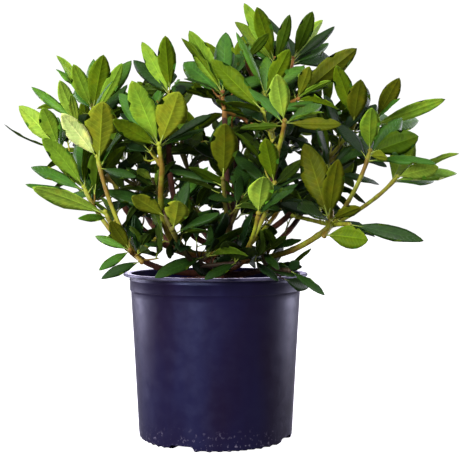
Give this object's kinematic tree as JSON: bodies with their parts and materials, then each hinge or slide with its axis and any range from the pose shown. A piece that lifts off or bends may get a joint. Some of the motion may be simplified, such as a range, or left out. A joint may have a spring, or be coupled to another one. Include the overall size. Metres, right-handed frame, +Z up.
{
  "type": "potted rhododendron shrub",
  "caption": "Leafy evergreen shrub with rosettes of long oval leaves on branching stems, standing in a round tapered plastic nursery pot filled with bark mix.",
  "frame": {"origin": "centre of the pot's flat underside, on the pot's axis", "axes": "+Z up along the pot's axis, -Y toward the front, +X to the right seen from the front"},
  "size_m": [0.653, 0.5761, 0.656],
  "materials": {
    "pot": "semi-gloss dark navy moulded plastic",
    "potting_mix": "rough shredded bark",
    "bark": "reddish brown bark, yellow-green on young shoots",
    "foliage": "leathery leaves, glossy dark green above, soft yellow-green below"
  },
  "bodies": {
    "root": {"pot": "pot", "potting_mix": "potting_mix", "trunk": "bark", "bough_left_low": "bark", "bough_left_high": "bark", "bough_front_left": "bark", "bough_upper_left": "bark", "bough_low_front_left": "bark", "bough_upper_front": "bark", "bough_front_middle": "bark", "bough_front_right": "bark", "bough_upper_right_front": "bark", "bough_top": "bark", "bough_right_front": "bark", "bough_right_high": "bark", "bough_low_front_right": "bark", "bough_back_left": "bark", "bough_back_middle_left": "bark", "bough_back_top": "bark", "bough_back_middle_right": "bark", "bough_back_right": "bark", "leaves_left_low": "foliage", "leaves_left_high": "foliage", "leaves_front_left": "foliage", "leaves_upper_left": "foliage", "leaves_low_front_left": "foliage", "leaves_upper_front": "foliage", "leaves_front_middle": "foliage", "leaves_front_right": "foliage", "leaves_upper_right_front": "foliage", "leaves_top": "foliage", "leaves_right_front": "foliage", "leaves_right_high": "foliage", "leaves_low_front_right": "foliage", "leaves_back_left": "foliage", "leaves_back_middle_left": "foliage", "leaves_back_top": "foliage", "leaves_back_middle_right": "foliage", "leaves_back_right": "foliage"}
  },
  "joints": []
}
